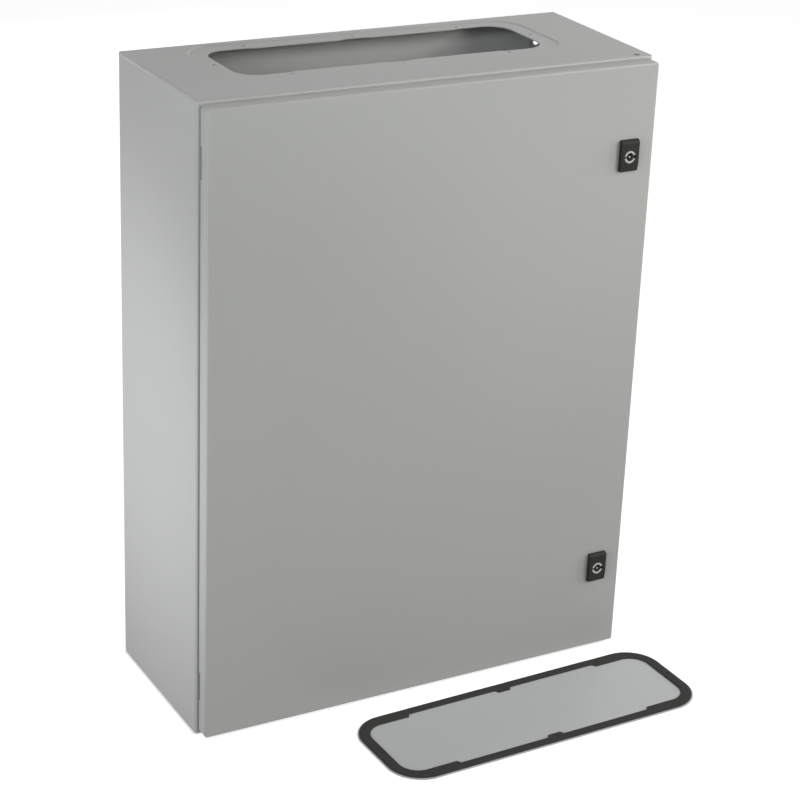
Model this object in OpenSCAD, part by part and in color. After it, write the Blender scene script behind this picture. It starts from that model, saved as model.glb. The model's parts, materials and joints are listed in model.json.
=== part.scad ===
// Steel wall enclosure with a hinged door, two quarter-turn locks and a gland plate.
// Millimetres. +Z is up, +X is to the right as one faces the door, +Y is towards the wall.
// The origin lies on the floor, at the centre of the enclosure's footprint.

/* [Enclosure] */
// Width across the two sides
enclosure_w = 600; // [560:5:1000]
// Height from the floor to the top
enclosure_h = 800; // [560:5:1400]
// Depth from the back to the front face of the door
enclosure_d = 250; // [225:5:400]
// Thickness of the body's sheet steel
body_sheet = 1.5; // [1.2:0.1:2]
// Outside radius of the body's folded edges
body_bend_r = 4; // [3:0.5:6]
// Height of the sealing lip in front of the rim
lip_h = 10; // [7:0.5:12]
// Radius of the mouth's corners at the sealing lip
mouth_r = 8; // [4:1:20]
// Width of the flange that the rear panel is welded to
rear_flange_w = 12; // [10:1:16]
// Diameter of the drain hole in the top, by the front right corner
drain_hole_d = 8; // [5:0.5:10]
// Distance of the drain hole from the right side
drain_from_side = 20; // [16:1:60]
// Distance of the drain hole from the rim
drain_from_rim = 7; // [7:0.5:12]

/* [Wall fixing] */
// Diameter of the four wall fixing holes
fixing_hole_d = 9; // [7:0.5:11]
// Radius of the pressed pad round each wall fixing hole
fixing_pad_r = 12; // [10:0.5:14]
// Distance of the wall fixing holes from the top and the bottom
fixing_from_end = 37.5; // [33:0.5:60]

/* [Mounting plate] */
// Thickness of the mounting plate
mplate_sheet = 2; // [1.5:0.1:3]
// Gap from the plate's edge to the outside of each side
mplate_from_side = 30; // [28:1:60]
// Gap from the plate's edge to the top and the bottom
mplate_from_end = 50; // [40:1:90]
// Corner radius of the mounting plate
mplate_corner_r = 6; // [2:1:15]
// Distance of the plate's fixing holes from its edges
mplate_hole_inset = 20; // [14:1:40]
// Length of the sleeves that hold the plate off the rear panel
standoff_l = 18; // [10:1:30]
// Outside radius of the sleeves
standoff_r = 7; // [6:0.5:9]
// Diameter of the welded studs, M8
mount_stud_d = 8; // [6:1:8]
// Length of stud that is left beyond its nut
stud_tail = 3; // [1:0.5:8]

/* [Door] */
// Distance from the rim to the front face of the door
door_d = 21; // [20.5:0.5:26]
// Gap from the body's outer faces to the door's edges, all round
door_gap = 3.5; // [3.5:0.1:5]
// Gap from the rim to the rear edge of the door's folded sides
rim_gap = 3.5; // [3:0.1:4]
// Thickness of the door's sheet steel
door_sheet = 1.5; // [1.2:0.1:2]
// Outside radius of the door's folded edges
door_edge_r = 3.5; // [3:0.1:4]
// Radius of the door's four corners
door_corner_r = 6; // [5:0.5:12]
// Width of the hem that is turned in behind the door's folded sides
hem_w = 8; // [6:0.5:10]
// Width of the door's foam seal
seal_w = 9.5; // [7:0.5:12]
// Gap from the foam seal to the sealing lip
seal_gap = 0.3; // [0.2:0.1:0.6]

/* [Door rails] */
// Distance from each lock's centre line to the rail beside it
rail_from_lock = 44.5; // [36:0.5:80]
// Width of the rail's raised web
rail_w = 20; // [14:1:30]
// Height of the rail above the door's inner face
rail_h = 12; // [8:0.5:12]
// Thickness of the rail's sheet steel
rail_sheet = 1.25; // [1:0.05:1.5]
// Width of each of the rail's two welded flanges
rail_flange_w = 8; // [5:1:12]
// Gap from the rail's ends to the top and the bottom of the enclosure
rail_from_end = 60; // [45:1:120]
// Distance between the rail's holes
rail_pitch = 50; // [20:5:100]
// Diameter of the rail's holes
rail_hole_d = 6.5; // [4:0.5:9]

/* [Hinges] */
// Distance from the hinge axis to the door's outer left face
hinge_inset = 5; // [5:0.1:5.5]
// Distance from the hinge axis to the rim
hinge_forward = 10; // [9.5:0.1:10.5]
// Distance of the hinges' middles from the top and the bottom
hinge_from_end = 69; // [60:1:110]
// Diameter of the hinge pins
hinge_pin_d = 4; // [3.5:0.1:4]
// Wall of the knuckles round the pin
knuckle_wall = 1.25; // [1:0.05:1.25]
// Height of the fixed bracket
bracket_h = 34; // [24:1:50]
// Thickness of the bracket's strap
strap_t = 2; // [1.5:0.1:2.5]
// Height of each knuckle of the door's leaf
leaf_knuckle_h = 12; // [8:1:20]
// Thickness of the leaf's base
leaf_t = 2; // [1.5:0.1:2.5]
// Depth of the notch in the door's folded side at each hinge
hinge_notch = 3; // [3:0.1:3.5]
// Radial running clearance of the hinge pin
pin_clear = 0.05; // [0.02:0.01:0.1]
// Gap kept between hinge pieces that pass each other
hinge_gap = 0.3; // [0.25:0.05:0.4]

/* [Locks] */
// Distance of the upper lock's axis from the top
lock_from_top = 117.5; // [100:0.5:200]
// Distance of the lower lock's axis from the bottom
lock_from_bottom = 121; // [100:0.5:200]
// Width of the black cover
cover_w = 26; // [22:0.5:32]
// Height of the black cover
cover_h = 40; // [34:0.5:50]
// How far the cover's middle lies above the lock's axis
cover_rise = 1.3; // [0:0.1:3]
// How far the cover's crown stands out from the door
cover_crown = 5.5; // [4.5:0.1:7]
// How far the cover's upper ledge stands out from the door
cover_ledge = 3.2; // [1.5:0.1:4.5]
// Corner radius of the cover
cover_corner_r = 1.5; // [0.5:0.1:4]
// Diameter of the threaded sleeve behind the cover
sleeve_d = 18; // [17:0.5:20]
// Width across the flats of the nut that clamps the lock
lock_nut_af = 22; // [21:0.5:26]
// Thickness of that nut
lock_nut_t = 5; // [3:0.5:7]
// Diameter of the metal face of the barrel
barrel_face_d = 15.5; // [14:0.5:16]
// Diameter of the barrel's shank
barrel_shank_d = 12; // [10:0.5:13]
// Diameter of the key recess in the barrel's face
key_recess_d = 10.4; // [8:0.1:11]
// Diameter of the key pin
key_pin_d = 3; // [2:0.1:4]
// Depth of the key recess
key_recess_depth = 8; // [5:0.5:12]
// Thickness of the lock's cam
cam_t = 2.5; // [2:0.1:4]
// Width of the lock's cam
cam_w = 18; // [14:0.5:20]
// How far the locked cam reaches behind the rim
cam_bite = 11; // [6:0.5:12]
// Gap from the rim's rear face to the cam
cam_gap = 0.5; // [0.3:0.1:1.5]

/* [Gland opening] */
// Length of the opening in the top
gland_l = 410; // [300:5:430]
// Width of the opening in the top
gland_w = 117; // [90:1:120]
// Corner radius of the opening
gland_r = 29; // [20:1:40]
// How far the opening's centre lies to the right of the middle
gland_x = -5; // [-20:1:20]
// Distance of the opening's centre from the back
gland_from_back = 91; // [85:1:110]
// Depth of the pressed recess that the gland plate drops into
recess_depth = 1.2; // [0.8:0.1:2]
// Width of the recess round the opening
recess_w = 20; // [16:1:22]
// Corner radius of the recess
recess_r = 43; // [36:1:56]
// Distance from the opening's ends to the screws there
end_screw_gap = 8.5; // [6:0.5:10]
// Distance from the opening's long edges to the screws there
side_screw_gap = 6.5; // [5:0.5:9]
// Distance from the opening's ends back to the corner screws
corner_screw_inset = 60; // [45:1:90]
// Diameter of the pilot holes for the gland plate's screws
pilot_d = 4.5; // [3:0.1:5]
// How far four straight steps on the long edges narrow the opening
gland_step_in = 2.5; // [1:0.1:4]
// Length of the slope at each end of a step
gland_step_slope = 8; // [3:0.5:12]
// Gap between two steps at the middle of each long side
gland_step_split = 26; // [16:1:50]

/* [Gland plate] */
// Thickness of the gland plate
gplate_sheet = 1.2; // [1:0.05:1.35]
// Gap between the plate's edge and the wall of its recess
gplate_gap = 2; // [1:0.5:3]
// Thickness of the plate's gasket
gasket_t = 1.8; // [1:0.1:1.95]
// How far the plate's edge shows outside its gasket
gasket_margin = 1.5; // [0.5:0.1:3]
// Width of the gasket at the plate's ends
gasket_end_w = 13.5; // [11:0.5:16]
// Width of the gasket along the plate's long sides
gasket_side_w = 10; // [8:0.5:12]
// How much wider the gasket is round the screws
gasket_lobe = 7; // [5:0.5:9]
// Length of the gasket's lobe at the middle of each long side
gasket_lobe_l = 22; // [14:1:40]
// Radius of the gasket's inner corners
gasket_inner_r = 18; // [10:1:28]
// Diameter of the screw holes through the plate and its gasket
gplate_hole_d = 5.5; // [5:0.1:6]
// Where the loose plate lies, to the right of the enclosure's middle
loose_x = 99; // [0:0.5:150]
// Distance from the door's front face to the loose plate's middle
loose_from_door = 111; // [105:1:200]
// Angle that the loose plate is turned by
loose_turn = 1.5; // [-5:0.5:5]

/* [Earth studs] */
// Diameter of the earth studs, M6
earth_stud_d = 6; // [5:1:6]
// Length of the earth studs
earth_stud_l = 12; // [10:0.5:12]
// Distance of the door's earth stud from the left side
door_earth_from_side = 50; // [42:1:60]
// Distance of the earth studs from the bottom
earth_from_bottom = 100; // [80:1:200]
// Distance of the body's earth stud from the left side
body_earth_from_side = 16; // [14:1:18]

/* [Hidden] */
$fn = 48;

// Colours
PAINT = [0.72, 0.73, 0.71];
ZINC = [0.78, 0.79, 0.80];
STEEL = [0.62, 0.63, 0.64];
BLACK = [0.13, 0.13, 0.13];
FOAM = [0.20, 0.20, 0.20];
DIE_CAST = [0.83, 0.83, 0.82];

// A cut runs this far past the face that it opens
over = 1;
// Clearance of a fixed screw, stud or sleeve in its hole
fit_gap = 0.25;
// Clearance of a nut or a screw on its thread
thread_gap = 0.05;

// Planes of the body, front to back
front_y = -enclosure_d / 2;
back_y = enclosure_d / 2;
rim_y = front_y + door_d;
rim_back_y = rim_y + body_sheet;
panel_back_y = back_y - body_sheet;
panel_front_y = panel_back_y - body_sheet;
mplate_back_y = panel_front_y - standoff_l;
mplate_front_y = mplate_back_y - mplate_sheet;
mid_z = enclosure_h / 2;
drain_x = enclosure_w / 2 - drain_from_side;
drain_y = rim_y + drain_from_rim;

// Planes of the door, front to back
door_inner_y = front_y + door_sheet;
door_rear_y = rim_y - rim_gap;
door_w = enclosure_w - 2 * door_gap;
door_h = enclosure_h - 2 * door_gap;

// Hinge: the strap leaves the knuckle to the right and turns back beyond the door's swing
hinge_x = -enclosure_w / 2 + door_gap + hinge_inset;
hinge_y = rim_y - hinge_forward;
hinge_zs = [hinge_from_end, enclosure_h - hinge_from_end];
pin_r = hinge_pin_d / 2;
knuckle_r = pin_r + knuckle_wall;
notch_end_gap = 2;
notch_y = door_rear_y - hinge_notch;
notch_h = bracket_h + 2 * notch_end_gap;
riser_x = norm([hinge_inset, notch_y - hinge_y]) + hinge_gap;
riser_end_x = riser_x + strap_t;
strap_drop = strap_t * 3 / 4;
foot_end_x = body_bend_r + fit_gap - door_gap - hinge_inset;
leaf_h = bracket_h + 2 * (hinge_gap + leaf_knuckle_h);
leaf_edge_gap = 0.1;
leaf_left_x = door_edge_r - hinge_inset + leaf_edge_gap;
leaf_right_x = riser_end_x;
leaf_stud_x = (leaf_left_x + leaf_right_x) / 2;
hinge_screw_dz = 9;
m4_r = 2;
m4_af = 7;
m4_nut_t = 3.2;
m4_tail = 1;

// Seal and lip: they lie just inboard of the hinge's strap
seal_clear = 0.6;
seal_from_side = door_gap + hinge_inset + riser_end_x + seal_clear + seal_w / 2;
rim_w = seal_from_side + body_sheet / 2;
mouth_w = enclosure_w - 2 * rim_w;
mouth_h = enclosure_h - 2 * rim_w;

// Locks: the nut clears the seal
nut_clear = 0.8;
lock_from_side = seal_from_side + seal_w / 2 + nut_clear + lock_nut_af / sqrt(3);
lock_x = enclosure_w / 2 - lock_from_side;
lock_zs = [lock_from_bottom, enclosure_h - lock_from_top];
lock_seal_t = 0.5;
lock_seal_inset = 0.5;
cover_back_y = front_y - lock_seal_t;
crown_y = cover_back_y - cover_crown;
ledge_bottom = cover_h;
crown_top = cover_h * 0.9;
crown_bottom = cover_h * 0.3;
cover_fall = 0.75;
cam_y = rim_back_y + cam_gap;
sleeve_from_rim = 4;
sleeve_end_y = rim_y - sleeve_from_rim;
barrel_clear = 0.1;
barrel_face_t = 4;
barrel_face_inset = 0.4;
key_pin_inset = 1;
cam_square = barrel_shank_d * 2 / 3;
cam_l = lock_from_side - rim_w + cam_bite;
cam_screw_r = 2.5;
cam_screw_l = 7;
cam_screw_bore = 8;
cam_washer_r = 6;
cam_washer_t = 1.2;
cam_head_af = 8;
cam_head_t = 3.5;

// Gland opening and plate
gland_y = back_y - gland_from_back;
recess_l = gland_l + 2 * recess_w;
recess_d = gland_w + 2 * recess_w;
recess_floor_z = enclosure_h - recess_depth;
gplate_l = recess_l - 2 * gplate_gap;
gplate_w = recess_d - 2 * gplate_gap;
gplate_r = recess_r - gplate_gap;
end_screw_x = gland_l / 2 + end_screw_gap;
side_screw_y = gland_w / 2 + side_screw_gap;
corner_screw_x = gland_l / 2 - corner_screw_inset;
gland_screws = [
    [-end_screw_x, 0], [end_screw_x, 0], [0, -side_screw_y], [0, side_screw_y],
    for (x = [-1, 1], y = [-1, 1]) [x * corner_screw_x, y * side_screw_y]
];
loose_y = front_y - loose_from_door;

// Wall fixing and mounting plate
pad_gap = 1;
fixing_x = enclosure_w / 2 - rear_flange_w - fixing_pad_r - pad_gap;
fixing_z = mid_z - fixing_from_end;
mplate_w = enclosure_w - 2 * mplate_from_side;
mplate_h = enclosure_h - 2 * mplate_from_end;
mount_x = mplate_w / 2 - mplate_hole_inset;
mount_z = mplate_h / 2 - mplate_hole_inset;
m8_af = 13;
m8_nut_t = 6.5;
m8_washer_r = 8;
m8_washer_t = 1.6;
m6_af = 10;
m6_nut_t = 5;

// Door rails
rail_x = lock_x - rail_from_lock;
rail_l = enclosure_h - 2 * rail_from_end;
rail_holes = floor((rail_l / 2 - rail_hole_d) / rail_pitch);

// ---------- Building blocks ----------

// A flat shape drawn in X and Z, carried from y0 back to y1
module along_y(y0, y1) {
    translate([0, y1, 0]) rotate([90, 0, 0]) linear_extrude(y1 - y0) children();
}

// A flat shape drawn in Y and Z, carried from x0 to x1
module along_x(x0, x1) {
    translate([x0, 0, 0]) rotate([90, 0, 90]) linear_extrude(x1 - x0) children();
}

// A rectangle with round corners, centred
module rounded_rect(w, h, r) {
    square([w - 2 * r, h], center = true);
    square([w, h - 2 * r], center = true);
    for (x = [-1, 1], y = [-1, 1])
        translate([x * (w / 2 - r), y * (h / 2 - r)]) circle(r = r);
}

// The section of a folded box, w wide, from y0 to y1: front corners round, rear ones as asked
module folded_section(w, y0, y1, r, round_rear) {
    translate([0, (y0 + y1) / 2]) rounded_rect(w, y1 - y0, r);
    if (!round_rear) translate([-w / 2, (y0 + y1) / 2]) square([w, (y1 - y0) / 2]);
}

// A box folded from sheet: round corners in elevation, round folds along its front edges
module folded_box(w, h, y0, y1, corner_r, fold_r, round_rear = false) {
    translate([0, 0, mid_z]) intersection() {
        along_y(y0, y1) rounded_rect(w, h, corner_r);
        translate([0, 0, -h / 2]) linear_extrude(h) folded_section(w, y0, y1, fold_r, round_rear);
        along_x(-w / 2, w / 2) rotate(-90) mirror([1, 0]) folded_section(h, y0, y1, fold_r, round_rear);
    }
}

// A flat ring in elevation, its outside w by h, its inside narrower by 2 * band
module elevation_ring(w, h, r_out, band, r_in) {
    translate([0, mid_z]) difference() {
        rounded_rect(w, h, r_out);
        rounded_rect(w - 2 * band, h - 2 * band, r_in);
    }
}

// A hexagon nut on an axis along Y, from y0 back to y1
module hex_nut_y(x, z, y0, y1, af, bore_r) {
    translate([x, 0, z]) along_y(y0, y1) difference() {
        rotate(30) circle(r = af / sqrt(3), $fn = 6);
        circle(r = bore_r);
    }
}

// A round bar along Y, from y0 back to y1
module bar_y(x, z, y0, y1, r) {
    translate([x, 0, z]) along_y(y0, y1) circle(r = r);
}

// The four corners of a rectangle in elevation
module at_corners(dx, dz) {
    for (x = [-dx, dx], z = [-dz, dz]) translate([x, 0, mid_z + z]) children();
}

// ---------- Body ----------

// One sheet folded round as top, sides and bottom, with the front rim and its lip, the rear
// flange and the recessed gland opening
module body_wrap() {
    color(PAINT) difference() {
        union() {
            folded_box(enclosure_w, enclosure_h, rim_y, back_y, body_bend_r, body_bend_r, true);
            along_y(rim_y - lip_h, rim_y + body_sheet)
                elevation_ring(mouth_w + 2 * body_sheet, mouth_h + 2 * body_sheet,
                    mouth_r + body_sheet, body_sheet, mouth_r);
        }
        body_hollow();
        along_y(rim_y - lip_h - over, rim_back_y + over) translate([0, mid_z])
            rounded_rect(mouth_w, mouth_h, mouth_r);
        along_y(panel_back_y - over, back_y + over) translate([0, mid_z])
            rounded_rect(enclosure_w - 2 * rear_flange_w, enclosure_h - 2 * rear_flange_w, body_bend_r);
        gland_cuts();
        translate([drain_x, drain_y, enclosure_h - body_sheet - over])
            cylinder(d = drain_hole_d, h = body_sheet + 2 * over);
        for (z = hinge_zs) hinge_slot(z);
    }
}

// The space inside the folded sheet, less the step pressed down round the gland opening
module body_hollow() {
    difference() {
        folded_box(enclosure_w - 2 * body_sheet, enclosure_h - 2 * body_sheet,
            rim_back_y, panel_back_y, body_bend_r - body_sheet, body_bend_r - body_sheet, true);
        translate([gland_x, gland_y, recess_floor_z - body_sheet])
            linear_extrude(body_sheet + recess_depth)
                rounded_rect(recess_l + 2 * body_sheet, recess_d + 2 * body_sheet, recess_r + body_sheet);
    }
}

// The recess for the gland plate, the opening in it and the eight pilot holes
module gland_cuts() {
    translate([gland_x, gland_y, recess_floor_z]) {
        linear_extrude(recess_depth + over) rounded_rect(recess_l, recess_d, recess_r);
        translate([0, 0, -body_sheet - over]) linear_extrude(body_sheet + 2 * over) gland_outline();
        for (p = gland_screws) translate([p.x, p.y, -body_sheet - over])
            cylinder(d = pilot_d, h = body_sheet + 2 * over);
    }
}

// The opening's outline, with its four steps: two on each long edge, the edge between them
module gland_outline() {
    edge_y = gland_w / 2;
    inner_x = gland_step_split / 2;
    outer_x = corner_screw_x;
    difference() {
        rounded_rect(gland_l, gland_w, gland_r);
        for (m = [0, 1], n = [0, 1]) mirror([m, 0]) mirror([0, n])
            polygon([[inner_x, edge_y + over], [inner_x + gland_step_slope, edge_y - gland_step_in],
                [outer_x - gland_step_slope, edge_y - gland_step_in], [outer_x, edge_y + over]]);
    }
}

// The slot in the rim that a hinge strap passes through
module hinge_slot(z) {
    translate([hinge_x + riser_x - fit_gap, rim_y - over, z - bracket_h / 2 - fit_gap])
        cube([strap_t + 2 * fit_gap, body_sheet + 2 * over, bracket_h + 2 * fit_gap]);
}

// The rear panel, welded inside the rear flange, with a pad pressed out round each fixing hole
module rear_panel() {
    panel_gap = body_bend_r;
    color(PAINT) difference() {
        union() {
            along_y(panel_front_y, panel_back_y) translate([0, mid_z])
                rounded_rect(enclosure_w - 2 * panel_gap, enclosure_h - 2 * panel_gap, body_bend_r);
            at_corners(fixing_x, fixing_z) along_y(panel_front_y, back_y) circle(r = fixing_pad_r);
        }
        at_corners(fixing_x, fixing_z) {
            along_y(panel_front_y - over, panel_back_y) circle(r = fixing_pad_r - body_sheet);
            along_y(panel_front_y - over, back_y + over) circle(d = fixing_hole_d);
        }
    }
}

// ---------- Mounting plate ----------

module mounting_studs() {
    stud_end_y = mplate_front_y - m8_washer_t - m8_nut_t - stud_tail;
    color(ZINC) at_corners(mount_x, mount_z) {
        along_y(stud_end_y, panel_front_y) circle(d = mount_stud_d);
    }
}

module mounting_sleeves() {
    color(BLACK) at_corners(mount_x, mount_z) along_y(mplate_back_y, panel_front_y) difference() {
        circle(r = standoff_r);
        circle(r = mount_stud_d / 2 + fit_gap);
    }
}

module mounting_plate() {
    color(ZINC) difference() {
        along_y(mplate_front_y, mplate_back_y) translate([0, mid_z])
            rounded_rect(mplate_w, mplate_h, mplate_corner_r);
        at_corners(mount_x, mount_z) along_y(mplate_front_y - over, mplate_back_y + over)
            circle(r = mount_stud_d / 2 + fit_gap);
    }
}

module mounting_washers() {
    color(ZINC) at_corners(mount_x, mount_z)
        along_y(mplate_front_y - m8_washer_t, mplate_front_y) difference() {
            circle(r = m8_washer_r);
            circle(r = mount_stud_d / 2 + fit_gap);
        }
}

module mounting_nuts() {
    nut_back_y = mplate_front_y - m8_washer_t;
    color(ZINC) at_corners(mount_x, mount_z)
        hex_nut_y(0, 0, nut_back_y - m8_nut_t, nut_back_y, m8_af, mount_stud_d / 2 + thread_gap);
}

// ---------- Earth studs ----------

module body_earth_stud() {
    color(ZINC) bar_y(body_earth_from_side - enclosure_w / 2, earth_from_bottom,
        panel_front_y - earth_stud_l, panel_front_y, earth_stud_d / 2);
}

module body_earth_nut() {
    color(ZINC) hex_nut_y(body_earth_from_side - enclosure_w / 2, earth_from_bottom,
        panel_front_y - m6_nut_t, panel_front_y, m6_af, earth_stud_d / 2 + thread_gap);
}

module door_earth_stud() {
    color(ZINC) bar_y(door_earth_from_side - enclosure_w / 2, earth_from_bottom,
        door_inner_y, door_inner_y + earth_stud_l, earth_stud_d / 2);
}

module door_earth_nut() {
    color(ZINC) hex_nut_y(door_earth_from_side - enclosure_w / 2, earth_from_bottom,
        door_inner_y, door_inner_y + m6_nut_t, m6_af, earth_stud_d / 2 + thread_gap);
}

// ---------- Hinges ----------

// The body's half: a knuckle whose strap runs clear of the door's swing, through the rim, and
// ends in a foot behind it
module hinge_bracket(z) {
    foot_y = rim_back_y - hinge_y;
    color(STEEL) translate([hinge_x, hinge_y, z - bracket_h / 2]) difference() {
        linear_extrude(bracket_h) difference() {
            union() {
                circle(r = knuckle_r);
                translate([0, -strap_drop]) square([riser_end_x, strap_t]);
                translate([riser_x, -strap_drop]) square([strap_t, foot_y + strap_drop + strap_t]);
                translate([foot_end_x, foot_y]) square([riser_end_x - foot_end_x, strap_t]);
            }
            circle(r = pin_r + pin_clear);
        }
        for (dz = [-hinge_screw_dz, hinge_screw_dz])
            translate([0, 0, bracket_h / 2 + dz]) along_y(foot_y - over, foot_y + strap_t + over)
                circle(r = m4_r + fit_gap);
    }
}

module upper_hinge_bracket() { hinge_bracket(hinge_zs[1]); }
module lower_hinge_bracket() { hinge_bracket(hinge_zs[0]); }

// Studs welded behind the rim, which the brackets' feet are bolted to
module hinge_bracket_studs() {
    color(ZINC) for (z = hinge_zs, dz = [-hinge_screw_dz, hinge_screw_dz])
        bar_y(hinge_x, z + dz, rim_back_y, rim_back_y + strap_t + m4_nut_t + m4_tail, m4_r);
}

module hinge_bracket_nuts() {
    foot_back_y = rim_back_y + strap_t;
    color(ZINC) for (z = hinge_zs, dz = [-hinge_screw_dz, hinge_screw_dz])
        hex_nut_y(hinge_x, z + dz, foot_back_y, foot_back_y + m4_nut_t, m4_af, m4_r + thread_gap);
}

// The door's half: a base on the door's inner face with a knuckle above and below the bracket's
module hinge_leaf(z) {
    base_y = door_inner_y - hinge_y;
    color(STEEL) translate([hinge_x, hinge_y, z - leaf_h / 2]) difference() {
        union() {
            translate([leaf_left_x, base_y, 0]) cube([leaf_right_x - leaf_left_x, leaf_t, leaf_h]);
            for (z0 = [0, leaf_h - leaf_knuckle_h]) translate([0, 0, z0]) linear_extrude(leaf_knuckle_h) {
                circle(r = knuckle_r);
                translate([leaf_left_x, base_y]) square([knuckle_r - leaf_left_x, -base_y]);
            }
        }
        translate([0, 0, -over]) cylinder(r = pin_r + pin_clear, h = leaf_h + 2 * over);
        for (dz = [-hinge_screw_dz, hinge_screw_dz])
            translate([leaf_stud_x, 0, leaf_h / 2 + dz]) along_y(base_y - over, base_y + leaf_t + over)
                circle(r = m4_r + fit_gap);
    }
}

module upper_hinge_leaf() { hinge_leaf(hinge_zs[1]); }
module lower_hinge_leaf() { hinge_leaf(hinge_zs[0]); }

// Studs welded to the door's inner face, which the leaves are bolted to
module hinge_leaf_studs() {
    color(ZINC) for (z = hinge_zs, dz = [-hinge_screw_dz, hinge_screw_dz])
        bar_y(hinge_x + leaf_stud_x, z + dz,
            door_inner_y, door_inner_y + leaf_t + m4_nut_t + m4_tail, m4_r);
}

module hinge_leaf_nuts() {
    leaf_y = door_inner_y + leaf_t;
    color(ZINC) for (z = hinge_zs, dz = [-hinge_screw_dz, hinge_screw_dz])
        hex_nut_y(hinge_x + leaf_stud_x, z + dz, leaf_y, leaf_y + m4_nut_t, m4_af, m4_r + thread_gap);
}

// The pin, dropped in from above and held by its head
module hinge_pin(z) {
    head_t = 1.5;
    head_r = knuckle_r - fit_gap;
    tail = 1;
    color(ZINC) translate([hinge_x, hinge_y, z - leaf_h / 2 - tail]) {
        cylinder(r = pin_r, h = leaf_h + tail);
        translate([0, 0, leaf_h + tail]) cylinder(r = head_r, h = head_t);
    }
}

module upper_hinge_pin() { hinge_pin(hinge_zs[1]); }
module lower_hinge_pin() { hinge_pin(hinge_zs[0]); }

// ---------- Door ----------

// A pan folded from one sheet, with a hem turned in behind its sides
module door_panel() {
    color(PAINT) difference() {
        union() {
            difference() {
                folded_box(door_w, door_h, front_y, door_rear_y, door_corner_r, door_edge_r);
                folded_box(door_w - 2 * door_sheet, door_h - 2 * door_sheet, door_inner_y,
                    door_rear_y + over, door_corner_r - door_sheet, door_edge_r - door_sheet);
            }
            along_y(door_rear_y - door_sheet, door_rear_y)
                elevation_ring(door_w, door_h, door_corner_r, hem_w, door_corner_r);
        }
        for (z = hinge_zs) translate([-door_w / 2 - over, notch_y, z - notch_h / 2])
            cube([hem_w + 2 * over, door_rear_y - notch_y + over, notch_h]);
        for (z = lock_zs) bar_y(lock_x, z, front_y - over, door_inner_y + over, sleeve_d / 2 + fit_gap);
    }
}

// The foam seal, foamed in place on the door's inner face in line with the lip
module door_seal() {
    seal_front_y = rim_y - lip_h - seal_gap;
    color(FOAM) along_y(door_inner_y, seal_front_y)
        elevation_ring(mouth_w + body_sheet + seal_w, mouth_h + body_sheet + seal_w,
            mouth_r + seal_w / 2, seal_w, mouth_r);
}

// A perforated hat rail, welded upright to the door's inner face
module door_rail(x) {
    rail_y = door_inner_y + rail_h;
    span = rail_w / 2 + rail_flange_w;
    color(PAINT) translate([x, 0, 0]) difference() {
        translate([0, 0, rail_from_end]) linear_extrude(rail_l) {
            translate([-rail_w / 2, rail_y - rail_sheet]) square([rail_w, rail_sheet]);
            for (side = [-1, 1]) {
                translate([side * (rail_w - rail_sheet) / 2 - rail_sheet / 2, door_inner_y])
                    square([rail_sheet, rail_h]);
                translate([side > 0 ? rail_w / 2 - rail_sheet : -span, door_inner_y])
                    square([rail_flange_w + rail_sheet, rail_sheet]);
            }
        }
        for (i = [-rail_holes:rail_holes])
            bar_y(0, mid_z + i * rail_pitch, rail_y - rail_sheet - over, rail_y + over, rail_hole_d / 2);
    }
}

module door_rail_left() { door_rail(-rail_x); }
module door_rail_right() { door_rail(rail_x); }

// ---------- Locks ----------

function ease(t) = t <= 0 ? 0 : t >= 1 ? 1 : t * t * (3 - 2 * t);

// How far the cover's face stands out at height z above its bottom edge: a low ledge along the
// top, a crown over the barrel and a gentle fall to the bottom
function cover_depth(z) =
    let (rise = ease((ledge_bottom - z) / (ledge_bottom - crown_top)), fall = ease(1 - z / crown_bottom))
    cover_ledge + (cover_crown - cover_ledge) * rise * (1 - cover_fall * fall);

// The moulded cover with its threaded sleeve, bored through for the barrel
module lock_housing(z) {
    steps = 20;
    face = [for (i = [0:steps]) [cover_back_y - cover_depth(i * cover_h / steps), i * cover_h / steps]];
    color(BLACK) translate([lock_x, 0, z]) difference() {
        union() {
            intersection() {
                translate([0, 0, cover_rise - cover_h / 2]) along_x(-cover_w / 2, cover_w / 2)
                    polygon(concat(face, [[cover_back_y, cover_h], [cover_back_y, 0]]));
                translate([0, 0, cover_rise]) along_y(crown_y - over, cover_back_y)
                    rounded_rect(cover_w, cover_h, cover_corner_r);
            }
            along_y(cover_back_y, sleeve_end_y) circle(d = sleeve_d);
        }
        along_y(crown_y - over, crown_y + barrel_face_t) circle(r = barrel_face_d / 2 + barrel_clear);
        along_y(crown_y, sleeve_end_y + over) circle(r = barrel_shank_d / 2 + barrel_clear);
    }
}

module upper_lock_housing() { lock_housing(lock_zs[1]); }
module lower_lock_housing() { lock_housing(lock_zs[0]); }

// A thin rubber seal between the cover and the door
module lock_seal(z) {
    color(FOAM) translate([lock_x, 0, z]) along_y(cover_back_y, front_y) difference() {
        translate([0, cover_rise]) rounded_rect(cover_w - 2 * lock_seal_inset,
            cover_h - 2 * lock_seal_inset, cover_corner_r);
        circle(r = sleeve_d / 2 + fit_gap);
    }
}

module upper_lock_seal() { lock_seal(lock_zs[1]); }
module lower_lock_seal() { lock_seal(lock_zs[0]); }

module lock_nut(z) {
    color(ZINC) hex_nut_y(lock_x, z, door_inner_y, door_inner_y + lock_nut_t, lock_nut_af,
        sleeve_d / 2 + thread_gap);
}

module upper_lock_nut() { lock_nut(lock_zs[1]); }
module lower_lock_nut() { lock_nut(lock_zs[0]); }

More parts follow.
